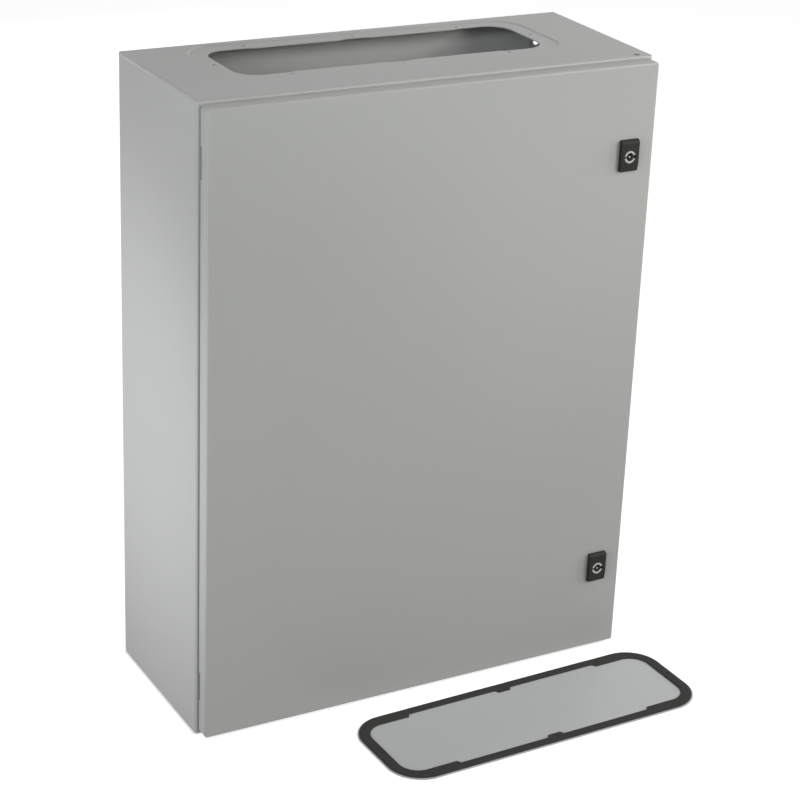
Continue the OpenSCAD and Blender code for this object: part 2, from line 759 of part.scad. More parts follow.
// The die-cast barrel: a slotted face round the key pin, a shank and a square for the cam
module lock_barrel(z) {
    wide_slot = key_pin_d * 1.4;
    narrow_slot = key_pin_d * 0.8;
    slot_depth = barrel_face_t * 0.7;
    face_y = crown_y + barrel_face_inset;
    face_back_y = crown_y + barrel_face_t - barrel_clear;
    color(DIE_CAST) translate([lock_x, 0, z]) difference() {
        union() {
            along_y(face_y, face_back_y) circle(d = barrel_face_d);
            along_y(face_back_y, cam_y) circle(d = barrel_shank_d);
            along_y(cam_y, cam_y + cam_t) square(cam_square, center = true);
        }
        difference() {
            union() {
                along_y(face_y - over, face_y + key_recess_depth) circle(d = key_recess_d);
                along_y(face_y - over, face_y + slot_depth) {
                    translate([0, -wide_slot / 2]) square([barrel_face_d, wide_slot]);
                    translate([-barrel_face_d, -narrow_slot / 2]) square([barrel_face_d, narrow_slot]);
                }
            }
            along_y(face_y + key_pin_inset, face_y + key_recess_depth + over) circle(d = key_pin_d);
        }
        along_y(cam_y - cam_screw_bore, cam_y + cam_t + over) circle(r = cam_screw_r + thread_gap);
    }
}

module upper_lock_barrel() { lock_barrel(lock_zs[1]); }
module lower_lock_barrel() { lock_barrel(lock_zs[0]); }

// The steel cam, hanging down when the door is free; a quarter turn puts it behind the rim
module lock_cam(z) {
    heel = cam_w / 2;
    color(ZINC) translate([lock_x, 0, z]) along_y(cam_y, cam_y + cam_t) difference() {
        union() {
            circle(r = heel);
            translate([-cam_w / 2, heel / 2 - cam_l]) square([cam_w, cam_l - heel / 2]);
            translate([heel / 2 - cam_w / 2, -cam_l]) square([cam_w - heel, heel]);
            for (side = [-1, 1])
                translate([side * (cam_w - heel) / 2, heel / 2 - cam_l]) circle(r = heel / 2);
        }
        square(cam_square + 2 * barrel_clear, center = true);
    }
}

module upper_lock_cam() { lock_cam(lock_zs[1]); }
module lower_lock_cam() { lock_cam(lock_zs[0]); }

// The screw and its washer that hold the cam on the barrel
module cam_screw(z) {
    cam_back_y = cam_y + cam_t;
    head_y = cam_back_y + cam_washer_t;
    color(ZINC) translate([lock_x, 0, z]) {
        along_y(cam_y - cam_screw_l, cam_back_y) circle(r = cam_screw_r);
        along_y(cam_back_y, head_y) circle(r = cam_washer_r);
        along_y(head_y, head_y + cam_head_t) rotate(30) circle(r = cam_head_af / sqrt(3), $fn = 6);
    }
}

module upper_cam_screw() { cam_screw(lock_zs[1]); }
module lower_cam_screw() { cam_screw(lock_zs[0]); }

// ---------- Gland plate, taken off and lying on the floor with its gasket up ----------

module at_loose_place() {
    translate([loose_x, loose_y, 0]) rotate([0, 0, loose_turn]) children();
}

module gland_plate() {
    color(PAINT) at_loose_place() difference() {
        linear_extrude(gplate_sheet) rounded_rect(gplate_l, gplate_w, gplate_r);
        gland_screw_holes(-over, gplate_sheet + over);
    }
}

module gland_screw_holes(z0, z1) {
    for (p = gland_screws) translate([p.x, p.y, z0]) cylinder(d = gplate_hole_d, h = z1 - z0);
}

// The foam gasket: narrow along the sides, wider at the corners, with a lobe at mid-length
module gland_gasket() {
    outer_l = gplate_l - 2 * gasket_margin;
    outer_w = gplate_w - 2 * gasket_margin;
    outer_r = gplate_r - gasket_margin;
    inner_l = outer_l - 2 * gasket_end_w;
    inner_w = outer_w - 2 * (gasket_side_w + gasket_lobe);
    narrow_l = 2 * (corner_screw_x - gasket_lobe);
    narrow_w = outer_w - 2 * gasket_side_w;
    color(FOAM) at_loose_place() translate([0, 0, gplate_sheet]) difference() {
        linear_extrude(gasket_t) difference() {
            rounded_rect(outer_l, outer_w, outer_r);
            rounded_rect(inner_l, inner_w, gasket_inner_r);
            difference() {
                square([narrow_l, narrow_w], center = true);
                for (side = [-1, 1]) translate([0, side * narrow_w / 2])
                    square([gasket_lobe_l, 2 * gasket_lobe], center = true);
            }
        }
        gland_screw_holes(-over, gasket_t + over);
    }
}

body_wrap();
rear_panel();
mounting_studs();
mounting_sleeves();
mounting_plate();
mounting_washers();
mounting_nuts();
body_earth_stud();
body_earth_nut();
upper_hinge_bracket();
lower_hinge_bracket();
hinge_bracket_studs();
hinge_bracket_nuts();
door_panel();
door_seal();
door_rail_left();
door_rail_right();
upper_hinge_leaf();
lower_hinge_leaf();
upper_hinge_pin();
lower_hinge_pin();
hinge_leaf_studs();
hinge_leaf_nuts();
door_earth_stud();
door_earth_nut();
upper_lock_housing();
lower_lock_housing();
upper_lock_seal();
lower_lock_seal();
upper_lock_nut();
lower_lock_nut();
upper_lock_barrel();
lower_lock_barrel();
upper_lock_cam();
lower_lock_cam();
upper_cam_screw();
lower_cam_screw();
gland_plate();
gland_gasket();
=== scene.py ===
"""A steel wall enclosure with its door, locks and loose gland plate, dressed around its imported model.

Metres, +Z up, +X to the right as one faces the door, +Y towards the wall. The sections follow the
enclosure as it is put together: body, mounting plate, hinges, door, locks, gland plate.
"""
import json
import math

import bmesh
import bpy
import numpy as np
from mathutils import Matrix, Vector


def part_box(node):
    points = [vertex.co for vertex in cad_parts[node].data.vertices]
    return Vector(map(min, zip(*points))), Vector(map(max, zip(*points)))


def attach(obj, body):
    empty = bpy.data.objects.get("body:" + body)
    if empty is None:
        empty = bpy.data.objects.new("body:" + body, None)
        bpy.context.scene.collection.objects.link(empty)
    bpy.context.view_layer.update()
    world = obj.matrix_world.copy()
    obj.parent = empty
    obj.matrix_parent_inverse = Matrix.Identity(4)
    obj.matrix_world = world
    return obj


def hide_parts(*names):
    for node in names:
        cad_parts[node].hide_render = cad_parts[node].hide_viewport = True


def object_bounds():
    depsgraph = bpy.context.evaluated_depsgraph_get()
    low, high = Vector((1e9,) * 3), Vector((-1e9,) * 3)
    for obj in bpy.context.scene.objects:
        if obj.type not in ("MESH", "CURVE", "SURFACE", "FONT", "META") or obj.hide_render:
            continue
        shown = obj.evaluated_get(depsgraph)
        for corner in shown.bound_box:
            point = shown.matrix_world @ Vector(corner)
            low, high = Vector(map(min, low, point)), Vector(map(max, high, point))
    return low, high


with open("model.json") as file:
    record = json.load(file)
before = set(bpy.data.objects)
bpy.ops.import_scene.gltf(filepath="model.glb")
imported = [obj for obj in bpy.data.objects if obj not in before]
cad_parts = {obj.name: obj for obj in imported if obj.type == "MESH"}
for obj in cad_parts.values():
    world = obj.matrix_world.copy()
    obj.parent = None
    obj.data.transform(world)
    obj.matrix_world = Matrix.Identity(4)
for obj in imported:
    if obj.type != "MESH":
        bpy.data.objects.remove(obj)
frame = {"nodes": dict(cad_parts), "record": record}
cad_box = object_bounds()

# ---------- Camera ----------
# A long lens looks down on the enclosure from its front left, as in a catalogue view. A small
# shift of the lens sets the enclosure in its place in the frame.

bpy.context.scene.view_settings.view_transform = "Standard"
camera = bpy.data.objects.new("camera", bpy.data.cameras.new("camera"))
camera.location = (-1.2665, -2.3214, 1.4927)
camera.rotation_euler = [math.radians(angle) for angle in (66.902, -2.667, -29.471)]
camera.data.lens = 102.53
camera.data.shift_x = -0.06875
camera.data.shift_y = -0.0075
bpy.context.scene.collection.objects.link(camera)
bpy.context.scene.camera = camera

# ---------- Studio ----------
# A white floor under a white sky, lit by large soft boxes, with a soft spot on the left side, one
# in the opening and one on the door. The camera and shiny metal see the floor and the sky white,
# save for a painted shadow where the floor lies close under things; the light that they give the
# paint is plain.


class Socket:
    """One socket in a material's or the world's nodes. Arithmetic on it adds Math nodes."""

    # A Mix node has sockets for each kind of value. These are the places of its colour ones.
    MIX_COLOURS = (6, 7)
    MIX_RESULT = 2

    def __init__(self, tree, socket=None):
        self.tree = tree
        self.socket = socket

    def node(self, kind, settings=None, inputs=None, output=0):
        """Adds a node: its settings first, then the values or links of its inputs."""
        made = self.tree.nodes.new(kind)
        for name, value in (settings or {}).items():
            setattr(made, name, value)
        for name, value in (inputs or {}).items():
            self.feed(made.inputs[name], value)
        return Socket(self.tree, made.outputs[output])

    def feed(self, target, value):
        """Links a Socket to an input, or writes a plain value into it. A plain colour is opaque."""
        if isinstance(value, Socket):
            self.tree.links.new(value.socket, target)
        else:
            target.default_value = (*value, 1) if target.type == "RGBA" else value

    def blend(self, low, high):
        """The colour low where this socket is 0, and high where it is 1."""
        inputs = {"Factor": self, **dict(zip(self.MIX_COLOURS, (low, high)))}
        return self.node("ShaderNodeMix", {"data_type": "RGBA"}, inputs, self.MIX_RESULT)

    def over(self, limit, soft):
        """0 where this socket is under limit and 1 where it is over, smoothly within soft of it."""
        ends = {"Value": self, "From Min": limit - soft, "From Max": limit + soft}
        return self.node("ShaderNodeMapRange", {"interpolation_type": "SMOOTHSTEP"}, ends)

    def either(self, other):
        """The larger of the two sockets: 1 where either of them is 1."""
        return self._math("MAXIMUM", self, other)

    def _math(self, operation, *values):
        return self.node("ShaderNodeMath", {"operation": operation}, dict(enumerate(values)))

    def __add__(self, other):
        return self._math("ADD", self, other)

    __radd__ = __add__

    def __sub__(self, other):
        return self._math("SUBTRACT", self, other)

    def __rsub__(self, other):
        return self._math("SUBTRACT", other, self)

    def __mul__(self, other):
        return self._math("MULTIPLY", self, other)

    __rmul__ = __mul__


def seen_directly(tree):
    """1 for a ray from the camera, or one that metal or glass sends on; 0 for light on matt paint."""
    kinds = ("Is Camera Ray", "Is Glossy Ray", "Is Transmission Ray")
    seen, mirrored, passed = [Socket(tree).node("ShaderNodeLightPath", output=kind) for kind in kinds]
    return seen.either(mirrored).either(passed)


SKY_LIGHT = 0.12
sky = bpy.data.worlds.new("sky")
bpy.context.scene.world = sky
sky.use_nodes = True
sky_shader = sky.node_tree.nodes["Background"]
sky_seen = seen_directly(sky.node_tree)
sky_seen.feed(sky_shader.inputs["Color"], (1, 1, 1))
sky_seen.feed(sky_shader.inputs["Strength"], sky_seen * (1 - SKY_LIGHT) + SKY_LIGHT)

FLOOR_GREY = 0.35
FLOOR_GLOW = 0.9
CONTACT_SHADE = 0.004
floor_finish = bpy.data.materials.new("floor_white")
floor_finish.use_nodes = True
floor_paint = floor_finish.node_tree.nodes["Principled BSDF"]
floor_seen = seen_directly(floor_finish.node_tree)
# Painted shadow: the floor's glow is dimmed by ambient occlusion within CONTACT_SHADE of other things,
# so the holes under the gland plate and the enclosure's foot show dark.
shade_reach = {"Distance": CONTACT_SHADE}
floor_painted_shade = floor_seen.node("ShaderNodeAmbientOcclusion", inputs=shade_reach, output="AO")
floor_sockets = {
    "Base Color": (FLOOR_GREY, FLOOR_GREY, FLOOR_GREY),
    "Roughness": 0.9,
    "Specular IOR Level": 0,
    "Emission Color": (1, 1, 1),
    "Emission Strength": floor_seen * floor_painted_shade * FLOOR_GLOW,
}
for title, value in floor_sockets.items():
    floor_seen.feed(floor_paint.inputs[title], value)

FLOOR_HALF = 40
FLOOR_DROP = 0.0002
quarters = ((-1, -1), (1, -1), (1, 1), (-1, 1))
floor_corners = [(x * FLOOR_HALF, y * FLOOR_HALF, -FLOOR_DROP) for x, y in quarters]
floor_mesh = bpy.data.meshes.new("floor")
floor_mesh.from_pydata(floor_corners, [], [(0, 1, 2, 3)])
floor_mesh.materials.append(floor_finish)
floor = bpy.data.objects.new("floor", floor_mesh)
bpy.context.scene.collection.objects.link(floor)

centre = (cad_box[0] + cad_box[1]) / 2


def aimed(name, lamp, place, target):
    """Hangs a lamp at place, turned to face target."""
    holder = bpy.data.objects.new(name, lamp)
    holder.location = place
    holder.rotation_euler = (target - holder.location).to_track_quat("-Z", "Y").to_euler()
    bpy.context.scene.collection.objects.link(holder)


def soft_box(name, place, size, watts, colour=(1, 1, 1)):
    """A square area lamp at place, turned to face the enclosure."""
    lamp = bpy.data.lights.new(name, "AREA")
    lamp.shape = "SQUARE"
    lamp.size = size
    lamp.energy = watts
    lamp.color = colour
    aimed(name, lamp, place, centre)


def soft_spot(name, place, target, cone, watts, colour):
    """A spot lamp at place, with a soft-edged cone of a few degrees, turned to face target."""
    lamp = bpy.data.lights.new(name, "SPOT")
    lamp.energy = watts
    lamp.color = colour
    lamp.spot_size = math.radians(cone)
    lamp.spot_blend = 1.0
    lamp.shadow_soft_size = 0.15
    aimed(name, lamp, place, Vector(target))


COOL = (0.955, 0.98, 1.0)
soft_box("left_box", (-2.4, -1.1, 0.9), 1.2, 18, COOL)
soft_box("left_front_box", (-2.0, -2.3, 2.1), 1.4, 23, COOL)
soft_box("right_front_box", (1.9, -2.6, 2.2), 1.6, 40, (1.0, 1.0, 0.955))
soft_box("right_box", (2.6, -0.8, 1.0), 1.2, 34, (1.0, 1.0, 0.965))
soft_box("back_box", (-0.2, 3.2, 0.7), 1.6, 30)
soft_box("right_back_box", (2.6, 1.6, 2.2), 1.6, 10)
soft_spot("side_glow", (-2.75, -0.3, 0.5), (-0.3, 0.08, 0.36), 20, 150, (0.975, 0.985, 1.0))
soft_spot("opening_glow", (-2.3, -1.2, 1.6), (0.13, 0.03, 0.78), 9, 98, COOL)
soft_spot("door_glow", (1.8, -2.2, 1.5), (0.30, -0.13, 0.70), 16, 50, (1.0, 1.0, 0.98))

# ---------- Body: wrap and rear panel ----------
# Sheet steel, 1.5 mm, folded round into top, sides and bottom with the rim and its sealing lip. A
# shallow recess is pressed in round the opening, and the dished rear panel is welded in behind.
# Both are powder-coated light grey, semi-gloss, with the very fine orange peel of such a coat.

FOLD_EDGE = 0.0003
PRESSED_EDGE = 0.00058
SHARP = math.radians(35)
FLAT = math.radians(0.5)
JOIN = 1e-6
NEAR = 1e-5
RECESS_LOW = np.array((-0.230, -0.0445))
RECESS_HIGH = np.array((0.220, 0.1125))
RECESS_CORNER = 0.043
RECESS_LEAN = 0.0022
RECESS_DEEP = 0.00125
TOP_INSET = 0.02
BEYOND = 9.0

nodes = frame["nodes"]
bodies = frame["record"]["behaviour"]["bodies"]
body_of = {node: body for body, members in bodies.items() for node in members}


class Finish(Socket):
    """A new material's nodes. Its coordinates are the piece's own, in metres."""

    def __init__(self, name):
        self.material = bpy.data.materials.new(name)
        self.material.use_nodes = True
        super().__init__(self.material.node_tree)
        self.shader = self.tree.nodes["Principled BSDF"]
        self.place = self.node("ShaderNodeTexCoord", output="Object")

    def vector(self, operation, first, second=None, output=0):
        """A Vector Math node on one or two vectors."""
        inputs = {0: first} if second is None else {0: first, 1: second}
        return self.node("ShaderNodeVectorMath", {"operation": operation}, inputs, output)

    def noise(self, per_metre, detail=2.0, stretch=(1, 1, 1)):
        """Smooth noise from 0 to 1, with about per_metre waves in a metre, drawn out along an axis."""
        place = self.vector("MULTIPLY", self.place, stretch)
        inputs = {"Vector": place, "Scale": per_metre, "Detail": detail}
        return self.node("ShaderNodeTexNoise", inputs=inputs)

    def cells(self, per_metre, output="Distance"):
        """Voronoi cells, about per_metre of them in a metre."""
        inputs = {"Vector": self.place, "Scale": per_metre}
        return self.node("ShaderNodeTexVoronoi", inputs=inputs, output=output)

    def relief(self, height, depth, below=None):
        """A bump normal, depth metres high where height is 1, on top of another normal."""
        inputs = {"Height": height, "Distance": depth, "Strength": 1.0}
        if below is not None:
            inputs["Normal"] = below
        return self.node("ShaderNodeBump", inputs=inputs)

    def set(self, **sockets):
        """Feeds the surface shader: base_color=... stands for its Base Color, and so on."""
        for name, value in sockets.items():
            title = {"specular": "Specular IOR Level"}.get(name, name.replace("_", " ").title())
            self.feed(self.shader.inputs[title], value)
        return self.material


def powder_coat(name, grey=(0.430, 0.435, 0.423), rough=0.36):
    """Light grey powder coat, with faint clouds, an orange peel of 1.5 mm and slight waves.

    The waves are the sheet's, which isn't quite flat; the peel's bump lies on top of theirs.
    """
    coat = Finish(name)
    cloud = coat.noise(per_metre=6, detail=3)
    peel = coat.noise(per_metre=650, detail=1.5)
    sheet = coat.noise(per_metre=3.2, detail=0)
    darker, lighter = [tuple(np.add(grey, shift)) for shift in (-0.01, 0.01)]
    waves = coat.relief(sheet, depth=0.0022)
    return coat.set(
        base_color=cloud.blend(darker, lighter),
        roughness=cloud * 0.06 + rough,
        normal=coat.relief(peel, depth=0.00001, below=waves),
    )


def numbers(items, name, kind, width=1):
    """An array of one attribute of a mesh's vertices, edges, loops or faces, with a row for each."""
    values = np.empty(len(items) * width, kind)
    items.foreach_get(name, values)
    return values.reshape(-1, width) if width > 1 else values


def set_points(mesh, points):
    """Puts an array of points back into a mesh's vertices."""
    mesh.vertices.foreach_set("co", points.ravel())
    mesh.update()


def edge_weights(mesh, pressed, least):
    """How far each edge is rounded: 1 where it is sharp and its middle lies in the box pressed.

    Any other sharp edge has least, and the rest 0. The sum of two unit normals, squared, is two and
    twice the cosine of their angle, and an edge is sharp where that is less than it is at SHARP.
    """
    normals = numbers(mesh.polygons, "normal", np.float32, 3)
    loops = numbers(mesh.polygons, "loop_total", np.int32)
    sums = np.zeros((len(mesh.edges), 3))
    np.add.at(sums, numbers(mesh.loops, "edge_index", np.int32), np.repeat(normals, loops, axis=0))
    sharp = (sums**2).sum(axis=1) < 2 + 2 * math.cos(SHARP)
    ends = numbers(mesh.edges, "vertices", np.int32, 2)
    middle = numbers(mesh.vertices, "co", np.float32, 3)[ends].mean(axis=1)
    inside = np.all((middle >= pressed[0]) & (middle <= pressed[1]), axis=1)
    return (sharp * np.where(inside, 1.0, least)).astype(np.float32)


def seated(piece, finish, node):
    """Links a piece, gives it its finish, and lets it stand for a CAD node and ride on its body."""
    piece.data.materials.clear()
    piece.data.materials.append(finish)
    bpy.context.scene.collection.objects.link(piece)
    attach(piece, body_of[node])
    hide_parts(node)
    return piece


def eased(node, finish, edge=FOLD_EDGE, pressed=None):
    """A copy of a node's mesh with its corners joined and its sharp edges rounded by edge metres.

    pressed is a box of (lowest corner, highest corner), whose edges are rounded by PRESSED_EDGE.
    """
    mesh = nodes[node].data.copy()
    for layer in ("custom_normal", "sharp_face", "sharp_edge"):
        if layer in mesh.attributes:
            mesh.attributes.remove(mesh.attributes[layer])
    joined = bmesh.new()
    joined.from_mesh(mesh)
    bmesh.ops.remove_doubles(joined, verts=joined.verts, dist=JOIN)
    bmesh.ops.dissolve_limit(joined, angle_limit=FLAT, verts=joined.verts, edges=joined.edges)
    joined.to_mesh(mesh)
    joined.free()
    mesh.shade_smooth()
    piece = bpy.data.objects.new(node + "_skin", mesh)
    bevel = piece.modifiers.new("eased edges", "BEVEL")
    bevel.width = edge
    bevel.segments = 2
    bevel.limit_method = "ANGLE"
    bevel.angle_limit = SHARP
    if pressed is not None:
        weights = mesh.attributes.new("bevel_weight_edge", "FLOAT", "EDGE")
        weights.data.foreach_set("value", edge_weights(mesh, pressed, edge / PRESSED_EDGE))
        bevel.width = PRESSED_EDGE
        bevel.segments = 3
        bevel.limit_method = "WEIGHT"
    piece.modifiers.new("flat faces", "WEIGHTED_NORMAL")
    return seated(piece, finish, node)


def lean_recess_wall(mesh, top):
    """Leans the recess's wall, as pressed: its upper edge moves out by RECESS_LEAN, square to it.

    Square to a rectangle with round corners is the way from the nearest point of a smaller
    rectangle, whose own corners are the middles of the round ones.
    """
    points = numbers(mesh.vertices, "co", np.float32, 3)
    plan = points[:, :2] - (RECESS_LOW + RECESS_HIGH) / 2
    half = (RECESS_HIGH - RECESS_LOW) / 2
    upper = (points[:, 2] > top - NEAR) & np.all(np.abs(plan) < half + NEAR, axis=1)
    outwards = np.sign(plan) * np.clip(np.abs(plan) - half + RECESS_CORNER, 0, None)
    length = np.maximum(np.linalg.norm(outwards, axis=1, keepdims=True), NEAR)
    points[:, :2] += np.where(upper[:, None], RECESS_LEAN * outwards / length, 0)
    set_points(mesh, points)


grey_coat = powder_coat("grey_powder_coat")
wrap_low, wrap_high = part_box("body_wrap")
# The box that holds what a press rounds: the wall of the recess and the rims of the holes in it.
# Its rear and upper sides lie beyond the wrap.
pressed_low = (wrap_low.x + TOP_INSET, wrap_low.y + TOP_INSET, wrap_high.z - RECESS_DEEP)
pressed_high = (wrap_high.x - TOP_INSET, BEYOND, BEYOND)
wrap = eased("body_wrap", grey_coat, pressed=(pressed_low, pressed_high))
lean_recess_wall(wrap.data, wrap_high.z)
eased("rear_panel", grey_coat)

# ---------- Mounting plate ----------
# A zinc-coated plate stands on four welded M8 studs, spaced off the rear panel by nylon sleeves
# and held by washers and nuts. An M6 stud beside it takes the body's earth wire.

M8_RADIUS = 0.004
M8_PITCH = 0.00125
M8_FLATS = 0.013
M6_RADIUS = 0.003
M6_PITCH = 0.001
M6_FLATS = 0.010
THREAD_CLEAR = 0.00005
SLIP_CLEAR = 0.0003
SLEEVE_CHAMFER = 0.0006
THREAD_DEPTH = 0.54
TIP_CUT = 1.4
THREAD_RINGS = 8
THREAD_COLUMNS = 24
ROUND_COLUMNS = 36
HEXAGON_COLUMNS = 60
CHAMFER_CIRCLE = 0.475
CHAMFER_DEPTHS = np.array([0, 0.015, 0.03, 0.045, 0.06, 0.10])
COUNTERSINK = 0.06
POLE_JOIN = 2e-7
CREASE = math.radians(32)


def zinc_coat(name):
    """Bright zinc on steel: a faint spangle, and fine scuffs that dull it in places."""
    coat = Finish(name)
    spangle = coat.cells(per_metre=90, output="Color")
    spangle = coat.node("ShaderNodeRGBToBW", inputs={"Color": spangle})
    scuff = coat.noise(per_metre=35, detail=6, stretch=(1, 1, 0.25))
    colour = (spangle * 0.6 + scuff * 0.4).blend((0.52, 0.53, 0.54), (0.64, 0.65, 0.66))
    return coat.set(base_color=colour, metallic=1.0, roughness=spangle * 0.10 + scuff * 0.16 + 0.26)


def moulded_black(name):
    """Black moulded nylon with a fine spark-eroded texture."""
    nylon = Finish(name)
    grain = nylon.noise(per_metre=2200, detail=1)
    cloud = nylon.noise(per_metre=60)
    return nylon.set(
        base_color=cloud.blend((0.009, 0.009, 0.008), (0.014, 0.014, 0.013)),
        roughness=cloud * 0.08 + 0.50,
        specular=0.22,
        normal=nylon.relief(grain, depth=0.00002),
    )


def turned(place, along, radius, axis=1):
    """Rings of points round an axis through place: ring i lies at along[i] and has radius[i].

    A ring's radius is one number, or one for each of its points, which go round by cosine and sine.
    """
    radius = np.asarray(radius, float).reshape(len(radius), -1)
    columns = radius.shape[1] if radius.shape[1] > 1 else ROUND_COLUMNS
    angle = np.linspace(0, 2 * np.pi, columns, endpoint=False)
    points = np.empty((len(radius), columns, 3))
    points[..., axis] = np.reshape(along, (-1, 1))
    first, second = [a for a in range(3) if a != axis]
    points[..., first] = place[0] + radius * np.cos(angle)
    points[..., second] = place[1] + radius * np.sin(angle)
    return points


def ring(place, outline):
    """A closed outline of (along, radius), turned about Y and joined from its end to its start."""
    along, radius = np.array(outline + outline[:1]).T
    return turned(place, along, radius)


def groove(turns):
    """How deep a thread is cut, from 0 at its crest to 1 at its root.

    It is a triangle wave of the turns, one tooth to each, cut flat at crest and root. The turns are
    those along the thread less the one round it.
    """
    return np.clip(1.3 * np.abs(2 * (turns % 1) - 1) - 0.15, 0, 1)


def threaded_bar(place, tip, root, radius, pitch):
    """A stud along Y, threaded from end to end, with a cone of 45 degrees at its tip.

    Its radius is the full one less the groove, which is THREAD_DEPTH of a pitch deep, or the cone's
    where that is less. The cone starts TIP_CUT grooves deep. Both ends close at a point.
    """
    angle = np.linspace(0, 2 * np.pi, THREAD_COLUMNS, endpoint=False)
    length = abs(root - tip)
    run = np.linspace(0, length, int(length / pitch * THREAD_RINGS) + 1)[:, None]
    depth = THREAD_DEPTH * pitch
    rings = radius - depth * groove(run / pitch - angle / (2 * np.pi))
    rings = np.minimum(rings, radius - TIP_CUT * depth + run)
    pole = np.zeros_like(angle)
    along = tip + np.sign(root - tip) * np.concatenate([run[:1], run, run[-1:]])
    return turned(place, along, np.vstack([pole, rings, pole]))


def hexagon_rings(depth, flats):
    """Radii of a hexagon's rings, one at each depth below its face, with a flat facing along X.

    Each is the hexagon's own, or where it is less that of the cone of 30 degrees that chamfers it.
    """
    angle = np.linspace(0, 2 * np.pi, HEXAGON_COLUMNS, endpoint=False)
    hexagon = flats / 2 / np.cos((angle + np.pi / 6) % (np.pi / 3) - np.pi / 6)
    return np.minimum(hexagon, CHAMFER_CIRCLE * flats + np.sqrt(3) * depth[:, None])


def nut(place, front, back, flats, bore):
    """A hexagon nut along Y, chamfered at both faces and countersunk at both ends of its bore."""
    depth = CHAMFER_DEPTHS * flats
    outside = hexagon_rings(depth, flats)
    sink = COUNTERSINK * flats
    inside = np.full((4, HEXAGON_COLUMNS), bore)
    inside[[0, 3]] += sink
    bored = (back, back - sink, front + sink, front)
    along = np.concatenate([front + depth, (back - depth)[::-1], bored])
    radius = np.vstack([outside, outside[::-1], inside])
    return turned(place, np.append(along, along[0]), np.vstack([radius, radius[:1]]))


def washer(place, front, back, radius, bore):
    """A punched washer along Y: flat faces, with the outer edge rolled over on both sides."""
    roll = (back - front) * 0.3
    outline = [(front, bore), (front, radius - roll), (front + roll * 0.4, radius - roll * 0.3)]
    outline += [(front + roll, radius), (back - roll, radius)]
    outline += [(back - roll * 0.4, radius - roll * 0.3), (back, radius - roll), (back, bore)]
    return ring(place, outline)


def sleeve(place, front, back, radius, bore):
    """A plain sleeve along Y, with its outer edges chamfered by SLEEVE_CHAMFER."""
    outline = [(front, bore), (front, radius - SLEEVE_CHAMFER), (front + SLEEVE_CHAMFER, radius)]
    outline += [(back - SLEEVE_CHAMFER, radius), (back, radius - SLEEVE_CHAMFER), (back, bore)]
    return ring(place, outline)


def skin(name, *grids):
    """One mesh over grids of points, each of rows by columns, where each row closes into a ring.

    Points that coincide, as at a pole or where an outline meets itself, are joined, and the faces
    turned outwards.
    """
    corners = np.concatenate([grid.reshape(-1, 3) for grid in grids])
    quads = []
    start = 0
    for grid in grids:
        index = start + np.arange(grid.shape[0] * grid.shape[1]).reshape(grid.shape[:2])
        across = np.roll(index, -1, axis=1)
        faces = np.stack([index[:-1], across[:-1], across[1:], index[1:]], axis=-1)
        quads.append(faces.reshape(-1, 4))
        start += index.size
    mesh = bpy.data.meshes.new(name)
    mesh.from_pydata(corners.tolist(), [], np.concatenate(quads).tolist())
    joined = bmesh.new()
    joined.from_mesh(mesh)
    bmesh.ops.remove_doubles(joined, verts=joined.verts, dist=POLE_JOIN)
    bmesh.ops.recalc_face_normals(joined, faces=joined.faces)
    joined.to_mesh(mesh)
    joined.free()
    mesh.shade_smooth()
    mesh.set_sharp_from_angle(angle=CREASE)
    return bpy.data.objects.new(name, mesh)


zinc = zinc_coat("bright_zinc")
black = moulded_black("black_nylon")
eased("mounting_plate", zinc)

stud_low, stud_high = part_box("mounting_studs")
stud_columns = (stud_low.x + M8_RADIUS, stud_high.x - M8_RADIUS)
stud_levels = (stud_low.z + M8_RADIUS, stud_high.z - M8_RADIUS)
mounts = [(x, z) for x in stud_columns for z in stud_levels]
studs = [threaded_bar(place, stud_low.y, stud_high.y, M8_RADIUS, M8_PITCH) for place in mounts]
seated(skin("mounting_stud_threads", *studs), zinc, "mounting_studs")

low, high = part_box("mounting_nuts")
nuts = [nut(place, low.y, high.y, M8_FLATS, M8_RADIUS + THREAD_CLEAR) for place in mounts]
seated(skin("mounting_hex_nuts", *nuts), zinc, "mounting_nuts")

slip_bore = M8_RADIUS + SLIP_CLEAR
low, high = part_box("mounting_washers")
washers = [washer(place, low.y, high.y, high.x - stud_columns[1], slip_bore) for place in mounts]
seated(skin("mounting_flat_washers", *washers), zinc, "mounting_washers")

low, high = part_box("mounting_sleeves")
sleeves = [sleeve(place, low.y, high.y, high.x - stud_columns[1], slip_bore) for place in mounts]
seated(skin("nylon_sleeves", *sleeves), black, "mounting_sleeves")


def earth_stud(node, tip_in_front):
    """An M6 stud and its nut, each as long as the solid that it stands for."""
    low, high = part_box(node + "_stud")
    place = (low.x + M6_RADIUS, low.z + M6_RADIUS)
    ends = (low.y, high.y) if tip_in_front else (high.y, low.y)
    bar = threaded_bar(place, *ends, M6_RADIUS, M6_PITCH)
    seated(skin(node + "_thread", bar), zinc, node + "_stud")
    low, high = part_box(node + "_nut")
    hexagon = nut(place, low.y, high.y, M6_FLATS, M6_RADIUS + THREAD_CLEAR)
    seated(skin(node + "_hex_nut", hexagon), zinc, node + "_nut")


earth_stud("body_earth", tip_in_front=True)

# ---------- Hinges ----------
# Bent strip and turned pins, zinc-plated. The bracket is bolted behind the rim and the leaf
# inside the door, so nothing of the hinge shows from outside. The pin drops in from above.

M4_RADIUS = 0.002
M4_PITCH = 0.0007
M4_FLATS = 0.007
STRIP_EDGE = 0.0002
PIN_RADIUS = 0.002
PIN_HEAD = 0.0015
PIN_CHAMFER = 0.0005
PIN_CROWN = 0.0001


def strip_steel(name):
    """Zinc-plated steel strip: drawn along its length, with fine rolling lines."""
    strip = Finish(name)
    rolled = strip.noise(per_metre=900, detail=2, stretch=(1, 1, 0.02))
    cloud = strip.noise(per_metre=80)
    return strip.set(
        base_color=cloud.blend((0.46, 0.47, 0.48), (0.56, 0.57, 0.58)),
        metallic=1.0,
        roughness=rolled * 0.14 + 0.30,
        normal=strip.relief(rolled, depth=0.000008),
    )


